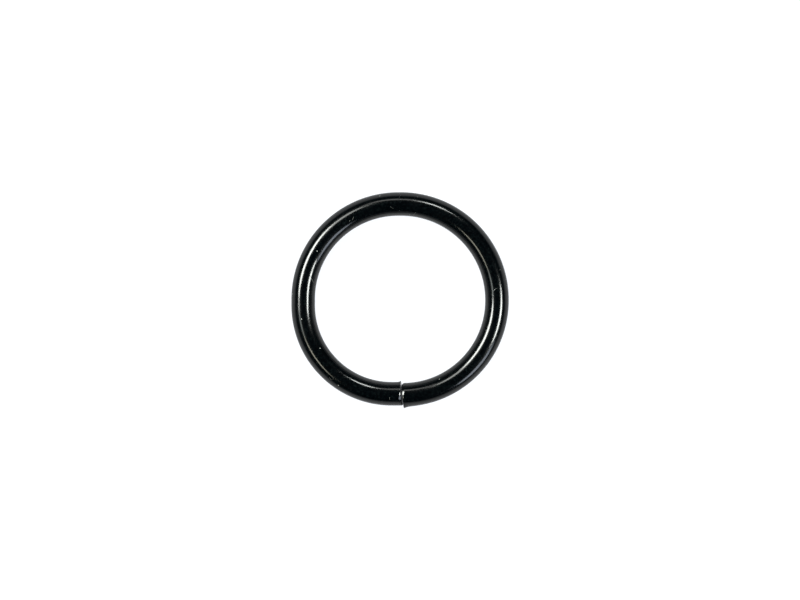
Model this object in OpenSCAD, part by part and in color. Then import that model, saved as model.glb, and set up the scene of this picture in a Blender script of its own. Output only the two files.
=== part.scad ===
// Butted ring of round wire, lying flat in XY with its axis along Z.
// Its one cut is at -Y. Each half runs from the crown, at +Y, to its own sheared end at the cut.
// The origin is the middle of the ring, halfway through the wire's thickness.

/* [Ring] */
// Inside diameter that the ring is sold by
inside_d = 25; // [20:0.5:40]
// Diameter of the bare steel wire
wire_d = 3.4; // [2.6:0.1:4]
// Thickness of the black coat
coat_t = 0.05; // [0.03:0.01:0.1]

/* [Cut] */
// Width of the gap between the two coated ends
cut_gap = 0.12; // [0.06:0.02:0.3]
// How far the cut sits to the right of the middle
cut_offset = 0.39; // [0.2:0.01:0.6]
// Slant of the cut away from square, seen from above, in degrees
cut_slant = 5; // [0:1:8]
// Lean of the cut away from upright, in degrees
cut_lean = 5; // [0:1:8]

/* [Out of round] */
// How far the crown sits inside the mean circle
crown_drop = 0.2; // [0:0.05:0.4]
// Straight length of the left side, between its two bends
left_side = 0.9; // [0.05:0.05:1.5]
// Straight length of the right side, between its two bends
right_side = 0.1; // [0.05:0.05:1.5]
// How much tighter than the mean circle the left shoulder is bent
left_shoulder_tighter = 0.2; // [0:0.05:0.5]
// How much tighter than the mean circle the left heel is bent
left_heel_tighter = 1.2; // [0.4:0.05:1.5]
// How much tighter than the mean circle the right shoulder is bent
right_shoulder_tighter = 0.1; // [0:0.05:0.5]
// How much tighter than the mean circle the right heel is bent
right_heel_tighter = 0.35; // [0.3:0.05:1.5]

/* [Hidden] */
$fn = 96;

wire_r = wire_d / 2;
coated_r = wire_r + coat_t;
mean_r = inside_d / 2 + coated_r;
crown_y = mean_r - crown_drop;

// The wire is straight for this far each side of the crown.
crown_straight = 0.2;
// A bore that opens at the crown runs on past it by this much.
bore_overrun = 1;
// Each end is made too long by this much, then sheared off.
shear_spare = wire_d;
shear_block = 3 * wire_d;

// A half's bend is [shoulder radius, straight side, heel radius].
left_bend = [mean_r - left_shoulder_tighter, left_side, mean_r - left_heel_tighter];
right_bend = [mean_r - right_shoulder_tighter, right_side, mean_r - right_heel_tighter];

// Where each coated end's face stands, measured from the middle towards its own half.
left_face_x = cut_gap / 2 - cut_offset;
right_face_x = cut_gap / 2 + cut_offset;

// How the shear is turned for each end. The two faces are parallel, and the right end overhangs the left one.
right_turn = [0, -cut_lean, cut_slant];
left_turn = [0, cut_lean, -cut_slant];

// A straight piece of round bar along +X.
module straight(r, length) {
    rotate([0, 90, 0])
        cylinder(r = r, h = length);
}

// A quarter turn of round bar about Z, from +X to +Y.
module quarter(r, bend_r) {
    rotate_extrude(angle = 90)
        translate([bend_r, 0])
            circle(r = r);
}

// The block that shears an end off. Its face is the sheared end.
module shear(face_x, turn) {
    translate([face_x, -crown_y, 0])
        rotate(turn)
            translate([-shear_block, -shear_block / 2, -shear_block / 2])
                cube(shear_block);
}

// Half of the ring as solid round bar, from the crown round the +X side to its sheared end.
module half_bar(bend, r, face_x, turn, overrun = 0) {
    shoulder_r = bend[0];
    side = bend[1];
    heel_r = bend[2];
    side_x = crown_straight + shoulder_r;
    side_y = crown_y - shoulder_r;
    heel_x = side_x - heel_r;
    difference() {
        union() {
            translate([-overrun, crown_y, 0])
                straight(r, crown_straight + overrun);
            translate([crown_straight, side_y, 0])
                quarter(r, shoulder_r);
            translate([side_x, side_y, 0])
                rotate([0, 0, -90])
                    straight(r, side);
            translate([heel_x, side_y - side, 0])
                rotate([0, 0, -90])
                    quarter(r, heel_r);
            translate([face_x - shear_spare, side_y - side - heel_r, 0])
                straight(r, heel_x - face_x + shear_spare);
        }
        shear(face_x, turn);
    }
}

// The coat of one half: a shell that is open at the crown and closed over the sheared end.
module half_coat(bend, face_x, turn) {
    difference() {
        half_bar(bend, coated_r, face_x, turn);
        half_bar(bend, wire_r, face_x + coat_t, turn, bore_overrun);
    }
}

module left_half_wire() {
    color("silver")
        mirror([1, 0, 0])
            half_bar(left_bend, wire_r, left_face_x + coat_t, left_turn);
}

module right_half_wire() {
    color("silver")
        half_bar(right_bend, wire_r, right_face_x + coat_t, right_turn);
}

module left_half_coat() {
    color([0.03, 0.035, 0.035])
        mirror([1, 0, 0])
            half_coat(left_bend, left_face_x, left_turn);
}

module right_half_coat() {
    color([0.03, 0.035, 0.035])
        half_coat(right_bend, right_face_x, right_turn);
}

left_half_wire();
right_half_wire();
left_half_coat();
right_half_coat();
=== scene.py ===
import math

import bmesh
import bpy
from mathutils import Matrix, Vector, noise


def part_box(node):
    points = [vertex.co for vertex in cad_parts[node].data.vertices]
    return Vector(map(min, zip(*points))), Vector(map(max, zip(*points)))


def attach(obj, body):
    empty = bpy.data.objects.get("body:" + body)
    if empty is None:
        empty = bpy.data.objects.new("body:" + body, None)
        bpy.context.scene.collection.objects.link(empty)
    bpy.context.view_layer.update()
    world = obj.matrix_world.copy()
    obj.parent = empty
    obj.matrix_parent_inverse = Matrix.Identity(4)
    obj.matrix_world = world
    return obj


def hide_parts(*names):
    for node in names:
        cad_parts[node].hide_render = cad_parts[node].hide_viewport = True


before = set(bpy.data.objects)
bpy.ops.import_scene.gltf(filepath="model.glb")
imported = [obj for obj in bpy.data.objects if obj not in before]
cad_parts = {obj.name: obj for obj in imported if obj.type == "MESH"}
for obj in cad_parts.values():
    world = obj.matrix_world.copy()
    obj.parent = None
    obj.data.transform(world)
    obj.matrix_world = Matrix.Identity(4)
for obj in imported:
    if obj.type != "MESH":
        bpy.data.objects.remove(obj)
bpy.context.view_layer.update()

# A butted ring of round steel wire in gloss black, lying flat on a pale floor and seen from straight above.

MM = 0.001

# ---------------------------------------------------------------- sizes, from the frame

WIRE_LOW, WIRE_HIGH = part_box("left_half_wire")
COAT_LOW, COAT_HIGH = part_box("left_half_coat")
WIRE_R = (WIRE_HIGH.z - WIRE_LOW.z) / 2
COATED_R = (COAT_HIGH.z - COAT_LOW.z) / 2
COAT_T = COATED_R - WIRE_R
CROWN_Y = COAT_HIGH.y - COATED_R
# The straight lengths of the ring: each side of the crown, and down each side between its two bends.
CROWN_STRAIGHT = 0.2 * MM
LEFT_STRAIGHT = 0.9 * MM
RIGHT_STRAIGHT = 0.1 * MM
# Each half stops this far short of the middle, so that the two don't rub as they turn on each other.
CROWN_CLEAR = 0.0005 * MM

# The cut: the middle of its gap, the gap's width, its slant away from square and its lean away from upright.
CUT_X = 0.39 * MM
CUT_GAP = 0.12 * MM
CUT_SLANT = math.radians(5)
CUT_LEAN = math.radians(5)
CUT_NORMAL = Vector((
    math.cos(CUT_SLANT) * math.cos(CUT_LEAN),
    math.sin(CUT_SLANT) * math.cos(CUT_LEAN),
    math.sin(CUT_LEAN),
))

# The angle round the wire's section starts at the ring's outside and rises to the top.
OUTSIDE = 0.0
INSIDE = 180.0

# How each end was sheared, in millimetres and degrees. "corner" is the radius of the face's edge, and
# "roll" adds to it on one side. The blade pressed the top down at "slope", over a stretch up to "press"
# long. It also drew a burr on one side, "burr" high at the face, which dies away over "burr_length".
LEFT_CUT = {
    "corner": 0.1, "roll": 0.1, "roll_at": OUTSIDE, "roll_spread": 70.0,
    "slope": 22.0, "press": 0.44, "press_at": 62.0, "press_spread": 75.0,
    "burr": 0.22, "burr_length": 0.16, "burr_at": INSIDE, "burr_spread": 42.0,
}
RIGHT_CUT = {
    "corner": 0.12, "roll": 0.32, "roll_at": INSIDE, "roll_spread": 80.0,
    "slope": 19.0, "press": 0.42, "press_at": 108.0, "press_spread": 80.0,
    "burr": 0.28, "burr_length": 0.42, "burr_at": OUTSIDE, "burr_spread": 48.0,
}
PRESS_EASE = 0.04 * MM
MIN_CORNER = 0.01 * MM
# The share of the corner's radius that is gone where the burr is highest.
BURR_SHARPENS = 0.7
# The sheared face is torn: coarse and fine unevenness, which fades over the outer part of the face.
TEAR_DEPTH = 0.012 * MM
TEAR_COARSE = 0.6 * MM
TEAR_FINE = 0.25 * MM
TEAR_FINE_SHARE = 0.4
TEAR_FADE = 0.2

# Points round the wire. The hinge turns by a whole number of their steps, so that the points of the two
# halves meet at the crown at both its limits.
AROUND = 90
# Rings of points stand this far apart along the coat's outside, and along the steel.
STEP = 0.25 * MM
CORE_STEP = 0.75 * MM
# The sheared end has its own rings over END_LENGTH. They turn from square to the cut's slant in SLANT_EASE.
END_LENGTH = 1.2 * MM
SLANT_EASE = 3 * MM
# Distances back from the sheared face at which the end has its rings, as shares of END_LENGTH.
END_RING_COUNT = 24
END_CROWDING = 2.2
END_RINGS = [(1 - i / END_RING_COUNT) ** END_CROWDING for i in range(END_RING_COUNT)]


def smooth(x):
    """An S-curve from 0 to 1, held level outside that range."""
    x = min(1.0, max(0.0, x))
    return x * x * (3 - 2 * x)


def lobe(angle, centre, spread):
    """A bump that is 1 at centre and has died away one spread to either side. The angles are in degrees."""
    off = abs((angle - centre + 180) % 360 - 180)
    return smooth(1 - off / spread)


class Half:
    """The middle line of one half of the ring, from the crown to the cut, and how its end was sheared."""

    def __init__(self, side, straight, cut):
        low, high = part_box("left_half_coat" if side < 0 else "right_half_coat")
        self.side = side
        self.straight = straight
        self.cut = cut
        self.side_x = (high.x if side > 0 else -low.x) - COATED_R
        self.shoulder_r = self.side_x - CROWN_STRAIGHT
        self.end_y = low.y + COATED_R
        self.side_y = CROWN_Y - self.shoulder_r
        self.heel_r = self.side_y - straight - self.end_y
        self.heel_x = self.side_x - self.heel_r
        quarter = math.pi / 2
        self.lengths = [CROWN_STRAIGHT, self.shoulder_r * quarter, straight, self.heel_r * quarter]
        self.face_x = CUT_GAP / 2 + side * CUT_X
        self.length = sum(self.lengths) + self.heel_x - self.face_x

    def place(self, along):
        """The middle line's point and heading, as if this were the right half.

        Heading 0 is +X, and it turns clockwise.
        """
        crown, shoulder, side, heel = self.lengths
        if along <= crown:
            return along, CROWN_Y, 0.0
        along -= crown
        if along <= shoulder:
            turn = along / self.shoulder_r
            x = CROWN_STRAIGHT + self.shoulder_r * math.sin(turn)
            return x, self.side_y + self.shoulder_r * math.cos(turn), turn
        along -= shoulder
        if along <= side:
            return self.side_x, self.side_y - along, math.pi / 2
        along -= side
        if along <= heel:
            turn = along / self.heel_r + math.pi / 2
            x = self.heel_x + self.heel_r * math.sin(turn)
            return x, self.side_y - self.straight + self.heel_r * math.cos(turn), turn
        return self.heel_x - (along - heel), self.end_y, math.pi

    def face_shift(self, radius, angle):
        """How much further the sheared face lies than it does in the middle, for a line along the wire."""
        outward = radius * math.cos(angle) - self.end_y - CROWN_Y
        up = radius * math.sin(angle)
        return self.side * (up * math.tan(CUT_LEAN) - outward * math.tan(CUT_SLANT))

    def shape(self, back, angle, radius, inset):
        """The bar's radius this far back from its sheared face, with all that the cut did to it.

        The steel's burr is measured from the coated face too, so that the coat keeps its thickness there.
        """
        degrees = math.degrees(angle)
        cut = self.cut
        burr = lobe(degrees, cut["burr_at"], cut["burr_spread"])
        roll = cut["roll"] * lobe(degrees, cut["roll_at"], cut["roll_spread"])
        press = cut["press"] * lobe(degrees, cut["press_at"], cut["press_spread"]) * MM
        corner = max(MIN_CORNER, (cut["corner"] + roll) * (1 - BURR_SHARPENS * burr) * MM - inset)
        drop = 0.0
        if back < corner:
            drop = corner - math.sqrt(back * (2 * corner - back))
        if back < press:
            slope = math.tan(math.radians(cut["slope"]))
            drop += slope * (math.hypot(press - back, PRESS_EASE) - PRESS_EASE)
        rise = cut["burr"] * MM * burr * math.exp(-(back + inset) / (cut["burr_length"] * MM))
        return radius - drop + rise

    def point(self, along, angle, inset):
        """A point of the bar's surface, inset under the coat's. along is the distance from the crown."""
        radius = COATED_R - inset
        end = self.length - inset
        back = max(0.0, end - along)
        ease = smooth((SLANT_EASE - back) / (SLANT_EASE - END_LENGTH))
        on_line = along + ease * self.face_shift(radius, angle)
        x, y, heading = self.place(on_line)
        bar_r = self.shape(back, angle, radius, inset)
        out = bar_r * math.cos(angle)
        return Vector((
            self.side * (x + out * math.sin(heading)),
            y + out * math.cos(heading),
            bar_r * math.sin(angle),
        ))

    def stations(self, step, inset):
        """Distances from the crown at which the bar has a ring of points, close together near the cut."""
        end = self.length - inset
        run = end - END_LENGTH - CROWN_STRAIGHT
        count = round(run / step)
        rings = [CROWN_CLEAR, CROWN_STRAIGHT / 2]
        rings += [CROWN_STRAIGHT + run * i / count for i in range(count)]
        rings += [end - END_LENGTH * share for share in END_RINGS]
        return rings + [end]

    def face_point(self, edge, middle, share, inset):
        """A point of the sheared face, a share of the way out from its middle, torn a little in and out."""
        flat = middle.lerp(edge, share)
        if inset > 0.0:
            return flat
        tear = noise.noise(flat / TEAR_COARSE) + TEAR_FINE_SHARE * noise.noise(flat / TEAR_FINE)
        return flat + CUT_NORMAL * TEAR_DEPTH * tear * smooth((1 - share) / TEAR_FADE)


LEFT = Half(-1, LEFT_STRAIGHT, LEFT_CUT)
RIGHT = Half(1, RIGHT_STRAIGHT, RIGHT_CUT)

# ---------------------------------------------------------------- meshes

# The sheared face has this many rings of points between its edge and its middle.
FACE_RINGS = 20
FACE_SHARES = [1 - i / FACE_RINGS for i in range(1, FACE_RINGS)]


def ring_of(mesh, half, along, inset):
    """Adds one ring of points round the bar."""
    angles = [2 * math.pi * i / AROUND for i in range(AROUND)]
    return [mesh.verts.new(half.point(along, angle, inset)) for angle in angles]


def bridge(mesh, first, second, flip):
    """Joins two rings of points with a band of faces and returns the faces."""
    faces = []
    for i in range(AROUND):
        j = (i + 1) % AROUND
        corners = [first[i], first[j], second[j], second[i]]
        faces.append(mesh.faces.new(corners[::-1] if flip else corners))
    return faces


def add_bar(mesh, half, inset, step, flip):
    """Adds the bar's outside and sheared face, and returns the ring of points at its open crown."""
    rings = [ring_of(mesh, half, along, inset) for along in half.stations(step, inset)]
    for first, second in zip(rings, rings[1:]):
        bridge(mesh, first, second, flip)
    edge = rings[-1]
    middle = sum((vert.co for vert in edge), Vector()) / AROUND
    inner = edge
    for share in FACE_SHARES:
        ring = [mesh.verts.new(half.face_point(vert.co, middle, share, inset)) for vert in edge]
        bridge(mesh, inner, ring, flip)
        inner = ring
    hub = mesh.verts.new(middle)
    for i in range(AROUND):
        corners = [inner[i], inner[(i + 1) % AROUND], hub]
        mesh.faces.new(corners[::-1] if flip else corners)
    return rings[0]


def sharpen_crown(mesh):
    """The crown's faces lie flat against the other half's, so their rims are sharp."""
    for edge in mesh.edges:
        if all(abs(vert.co.x) < 2 * CROWN_CLEAR for vert in edge.verts):
            edge.smooth = False


def finish_piece(name, mesh, material):
    """Turns a closed mesh into a smooth object of this material."""
    bmesh.ops.recalc_face_normals(mesh, faces=mesh.faces)
    sharpen_crown(mesh)
    for face in mesh.faces:
        face.smooth = True
    data = bpy.data.meshes.new(name)
    mesh.to_mesh(data)
    mesh.free()
    data.materials.append(material)
    piece = bpy.data.objects.new(name, data)
    bpy.context.scene.collection.objects.link(piece)
    return piece


def make_coat(name, half, material):
    """The coat: a thin closed shell, open at the crown and shut over the sheared end."""
    mesh = bmesh.new()
    outer = add_bar(mesh, half, 0.0, STEP, False)
    inner = add_bar(mesh, half, COAT_T, CORE_STEP, True)
    bridge(mesh, inner, outer, False)
    return finish_piece(name, mesh, material)


def make_wire(name, half, material):
    """The steel inside the coat: solid bar that fills the coat exactly."""
    mesh = bmesh.new()
    crown = add_bar(mesh, half, COAT_T, CORE_STEP, False)
    mesh.faces.new(crown[::-1])
    return finish_piece(name, mesh, material)


# ---------------------------------------------------------------- materials


class Nodes:
    """A short way to add nodes to a material and link them."""

    def __init__(self, name):
        self.material = bpy.data.materials.new(name)
        self.material.use_nodes = True
        self.tree = self.material.node_tree
        self.shader = self.tree.nodes["Principled BSDF"]

    def add(self, kind, settings=None, **inputs):
        """A new node. Each input is a plain value or another node's output."""
        node = self.tree.nodes.new(kind)
        for key, value in (settings or {}).items():
            setattr(node, key, value)
        for key, value in inputs.items():
            socket = node.inputs[key]
            if isinstance(value, bpy.types.NodeSocket):
                self.tree.links.new(value, socket)
            else:
                socket.default_value = value
        return node

    def to_shader(self, socket_name, output):
        self.tree.links.new(output, self.shader.inputs[socket_name])

    def place(self):
        """Coordinates in metres that stay with the piece."""
        return self.add("ShaderNodeTexCoord").outputs["Object"]

    def noise(self, size, detail=2.0, roughness=0.5):
        """Noise whose features are about this many metres across."""
        node = self.add("ShaderNodeTexNoise", Scale=1 / size, Detail=detail, Roughness=roughness)
        self.tree.links.new(self.place(), node.inputs["Vector"])
        return node.outputs["Fac"]

    def maths(self, operation, first, second):
        node = self.add("ShaderNodeMath", {"operation": operation})
        self.tree.links.new(first, node.inputs[0])
        self.tree.links.new(second, node.inputs[1])
        return node.outputs["Value"]

    def mix(self, factor, base, over):
        """The base colour, with a plain colour over it as far as the factor says."""
        node = self.add("ShaderNodeMix", {"data_type": "RGBA"}, Factor=factor)
        start, end = [socket for socket in node.inputs if socket.type == "RGBA"]
        self.tree.links.new(base, start)
        end.default_value = (*over, 1.0)
        return next(socket for socket in node.outputs if socket.type == "RGBA")

    def ramp(self, factor, stops):
        """A ramp through (position, colour) stops."""
        node = self.add("ShaderNodeValToRGB", Fac=factor)
        elements = node.color_ramp.elements
        while len(elements) < len(stops):
            elements.new(0.5)
        for element, (position, colour) in zip(elements, stops):
            element.position = position
            element.color = (*colour, 1.0)
        return node.outputs["Color"]

    def bump(self, height, strength, depth, under=None):
        node = self.add("ShaderNodeBump", Strength=strength, Distance=depth, Height=height)
        if under is not None:
            self.tree.links.new(under, node.inputs["Normal"])
        return node.outputs["Normal"]


def grey(value):
    return (value, value, value)


BLACK = grey(0.0)
WHITE = grey(1.0)

PAINT_IOR = 1.5
# The paint's colour, from the darkest of its mottle to the lightest.
PAINT_STOPS = [
    (0.4, (0.0, 0.0002, 0.0005)),
    (0.54, (0.0003, 0.001, 0.0015)),
    (0.7, (0.0038, 0.006, 0.006)),
]
PAINT_MOTTLE = 0.3 * MM
SMEAR_STOPS = [(0.3, grey(0.12)), (0.7, grey(0.18))]
SMEAR = 2.6 * MM
WAVES = 2.4 * MM
WAVE_DEPTH = 0.03 * MM
PEEL = 0.3 * MM
PEEL_DEPTH = 0.004 * MM

DUST_COLOUR = (0.36, 0.37, 0.34)
DUST_DEPTH = 0.02 * MM
# A cell of this size holds a speck if the cell's own random number is high enough.
SPECK_CELL = 0.9 * MM
SPECK_EDGE = [(0.05, WHITE), (0.1, BLACK)]
SPECK_CHOICE = [(0.7, BLACK), (0.74, WHITE)]
# A hair follows a level line of one noise, where another noise is high.
LINT_CURL = 3 * MM
LINT_LINE = [(0.496, BLACK), (0.5, grey(0.5)), (0.504, BLACK)]
LINT_SPACING = 1.2 * MM
LINT_CHOICE = [(0.72, BLACK), (0.76, WHITE)]

STEEL_STOPS = [(0.3, (0.36, 0.35, 0.33)), (0.7, (0.6, 0.59, 0.57))]
STEEL_MOTTLE = 0.6 * MM
STEEL_ROUGHNESS = [(0.3, grey(0.28)), (0.7, grey(0.42))]
STEEL_GRAIN = 0.05 * MM
STEEL_GRAIN_DEPTH = 0.003 * MM


def specks(nodes):
    """1 on a few small round specks and 0 between them."""
    cells = nodes.add("ShaderNodeTexVoronoi", Scale=1 / SPECK_CELL, Randomness=1.0, Vector=nodes.place())
    near = nodes.ramp(cells.outputs["Distance"], SPECK_EDGE)
    chosen = nodes.ramp(cells.outputs["Color"], SPECK_CHOICE)
    return nodes.maths("MULTIPLY", near, chosen)


def lint(nodes):
    """A half on a few short curled hairs and 0 between them."""
    line = nodes.ramp(nodes.noise(LINT_CURL, detail=0.0), LINT_LINE)
    stretch = nodes.ramp(nodes.noise(LINT_SPACING, detail=0.0), LINT_CHOICE)
    return nodes.maths("MULTIPLY", line, stretch)


def gloss_black():
    """Gloss black paint with orange peel, a mottle of fine dust, a few larger specks and a little lint."""
    nodes = Nodes("gloss_black")
    nodes.shader.inputs["IOR"].default_value = PAINT_IOR

    paint = nodes.ramp(nodes.noise(PAINT_MOTTLE, detail=4.0, roughness=0.7), PAINT_STOPS)
    dust = nodes.maths("MAXIMUM", specks(nodes), lint(nodes))
    nodes.to_shader("Base Color", nodes.mix(dust, paint, DUST_COLOUR))

    smear = nodes.noise(SMEAR, detail=5.0, roughness=0.6)
    nodes.to_shader("Roughness", nodes.ramp(smear, SMEAR_STOPS))

    waves = nodes.bump(nodes.noise(WAVES, detail=1.0), strength=0.35, depth=WAVE_DEPTH)
    peel = nodes.bump(nodes.noise(PEEL), strength=0.07, depth=PEEL_DEPTH, under=waves)
    nodes.to_shader("Normal", nodes.bump(dust, strength=0.6, depth=DUST_DEPTH, under=peel))
    return nodes.material


def drawn_steel():
    """Bare drawn steel wire, with a fine grain and a grey-brown mottle."""
    nodes = Nodes("drawn_steel")
    nodes.shader.inputs["Metallic"].default_value = 1.0
    tone = nodes.noise(STEEL_MOTTLE, detail=5.0, roughness=0.65)
    nodes.to_shader("Base Color", nodes.ramp(tone, STEEL_STOPS))
    grain = nodes.noise(STEEL_GRAIN, detail=3.0)
    nodes.to_shader("Roughness", nodes.ramp(grain, STEEL_ROUGHNESS))
    nodes.to_shader("Normal", nodes.bump(grain, strength=0.3, depth=STEEL_GRAIN_DEPTH))
    return nodes.material


# ---------------------------------------------------------------- the studio

FLOOR_Z = COAT_LOW.z
FLOOR_HALF = 3.0
FLOOR_ALBEDO = 0.18
# The floor's own glow, which is also the backdrop's, so that the two meet without a line.
PALE = (0.87, 0.89, 0.94, 1.0)
# The camera sees all of that glow. The ring mirrors only this share of it, which keeps the wire's rims dark.
MIRRORED_GLOW = 0.45
# The dark of the room starts above the backdrop. These are heights on a sphere of radius 1.
ROOM = (0.012, 0.013, 0.014, 1.0)
BACKDROP_TOP = 0.06
ROOM_FROM = 0.22

# The camera looks straight down at this point of the ring's plane, and sees this much from side to side.
CAMERA_OVER = Vector((0.04, -0.12, 0)) * MM
CAMERA_HEIGHT = 0.5
VIEW_WIDTH = 118.06 * MM
CLIP_NEAR = 0.01
CLIP_FAR = 20.0

LIGHT_DISTANCE = 0.5
KEY_TINT = (0.97, 1.0, 0.95)
KEY_TAIL_TINT = (0.9, 1.0, 0.97)
SIDE_TINT = (0.96, 1.0, 0.96)
SKY_TINT = (0.8, 0.88, 1.0)
BACK_TINT = (0.96, 1.0, 0.97)
BACK_TAIL_TINT = (1.0, 1.0, 0.97)
WARM_TINT = (1.0, 0.98, 0.8)


def glow_strength(tree):
    """Full strength where the camera sees the glow itself, and MIRRORED_GLOW in reflections and as light."""
    path = tree.nodes.new("ShaderNodeLightPath")
    strength = tree.nodes.new("ShaderNodeMapRange")
    strength.inputs["To Min"].default_value = MIRRORED_GLOW
    tree.links.new(path.outputs["Is Camera Ray"], strength.inputs["Value"])
    return strength.outputs["Result"]


def make_floor():
    """A plain floor that its own glow makes white, so that shadows on it stay faint."""
    corners = [(-1, -1), (1, -1), (1, 1), (-1, 1)]
    data = bpy.data.meshes.new("floor")
    data.from_pydata([(x * FLOOR_HALF, y * FLOOR_HALF, FLOOR_Z) for x, y in corners], [], [(0, 1, 2, 3)])
    floor = bpy.data.objects.new("floor", data)
    bpy.context.scene.collection.objects.link(floor)
    nodes = Nodes("floor_white")
    shader = nodes.shader.inputs
    shader["Base Color"].default_value = (*grey(FLOOR_ALBEDO), 1.0)
    shader["Roughness"].default_value = 1.0
    shader["Specular IOR Level"].default_value = 0.0
    shader["Emission Color"].default_value = PALE
    nodes.tree.links.new(glow_strength(nodes.tree), shader["Emission Strength"])
    data.materials.append(nodes.material)


def make_world():
    """A dark room above, with a pale backdrop round the horizon."""
    world = bpy.data.worlds.new("studio")
    world.use_nodes = True
    tree = world.node_tree
    background = tree.nodes["Background"]
    place = tree.nodes.new("ShaderNodeTexCoord")
    split = tree.nodes.new("ShaderNodeSeparateXYZ")
    ramp = tree.nodes.new("ShaderNodeValToRGB")
    tree.links.new(place.outputs["Generated"], split.inputs["Vector"])
    tree.links.new(split.outputs["Z"], ramp.inputs["Fac"])
    tree.links.new(ramp.outputs["Color"], background.inputs["Color"])
    tree.links.new(glow_strength(tree), background.inputs["Strength"])
    elements = ramp.color_ramp.elements
    elements[0].position, elements[0].color = BACKDROP_TOP, PALE
    elements[1].position, elements[1].color = ROOM_FROM, ROOM
    bpy.context.scene.world = world


def direction(azimuth, elevation):
    """A unit vector. Azimuth 0 is +X and 90 is +Y; elevation is above the floor. Both are in degrees."""
    a, e = math.radians(azimuth), math.radians(elevation)
    return Vector((math.cos(a) * math.cos(e), math.sin(a) * math.cos(e), math.sin(e)))


def softbox(name, azimuth, elevation, width, height, radiance, tint):
    """An oval softbox that faces the ring. Its width and height are the angles that it fills."""
    light = bpy.data.lights.new(name, "AREA")
    light.shape = "ELLIPSE"
    light.size = 2 * LIGHT_DISTANCE * math.tan(math.radians(width) / 2)
    light.size_y = 2 * LIGHT_DISTANCE * math.tan(math.radians(height) / 2)
    area = math.pi * light.size * light.size_y / 4
    light.energy = radiance * math.pi * area
    light.color = tint
    lamp = bpy.data.objects.new(name, light)
    towards = direction(azimuth, elevation)
    lamp.location = towards * LIGHT_DISTANCE
    lamp.rotation_mode = "QUATERNION"
    lamp.rotation_quaternion = (-towards).to_track_quat("-Z", "Y")
    bpy.context.scene.collection.objects.link(lamp)


def make_lights():
    """Three bright softboxes round the ring, dimmer spill beside each, and a warm one at the lower left."""
    softbox("key", azimuth=156, elevation=49.5, width=32, height=17, radiance=30, tint=KEY_TINT)
    softbox("key_above", azimuth=124, elevation=55.5, width=16, height=14, radiance=8, tint=KEY_TINT)
    softbox("key_tail", azimuth=190, elevation=50, width=12, height=12, radiance=4, tint=KEY_TAIL_TINT)
    softbox("side", azimuth=-9, elevation=46, width=23, height=15, radiance=30, tint=SIDE_TINT)
    softbox("side_tail", azimuth=-41, elevation=30.5, width=28, height=21, radiance=5.1, tint=SKY_TINT)
    softbox("back", azimuth=70, elevation=47.5, width=13, height=9, radiance=20, tint=BACK_TINT)
    softbox("back_tail", azimuth=96, elevation=45, width=22, height=10, radiance=2.7, tint=BACK_TAIL_TINT)
    softbox("warm", azimuth=214, elevation=49, width=20, height=9, radiance=7.5, tint=WARM_TINT)


def make_camera():
    """A long lens straight above the ring, with +Y up in the view."""
    data = bpy.data.cameras.new("camera")
    data.lens = data.sensor_width * CAMERA_HEIGHT / VIEW_WIDTH
    data.clip_start = CLIP_NEAR
    data.clip_end = CLIP_FAR
    camera = bpy.data.objects.new("camera", data)
    camera.location = CAMERA_OVER + Vector((0, 0, CAMERA_HEIGHT))
    bpy.context.scene.collection.objects.link(camera)
    bpy.context.scene.camera = camera


def set_tone():
    """Plain display colours, so that the white floor is white and the black paint is black."""
    settings = bpy.context.scene.view_settings
    settings.view_transform = "Standard"
    settings.look = "None"


# ---------------------------------------------------------------- put together

black = gloss_black()
steel = drawn_steel()
for side_name, half in (("left_half", LEFT), ("right_half", RIGHT)):
    coat = make_coat(side_name + "_gloss_coat", half, black)
    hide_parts(side_name + "_coat")
    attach(coat, side_name)
    wire = make_wire(side_name + "_steel", half, steel)
    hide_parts(side_name + "_wire")
    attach(wire, side_name)

make_floor()
make_world()
make_lights()
make_camera()
set_tone()
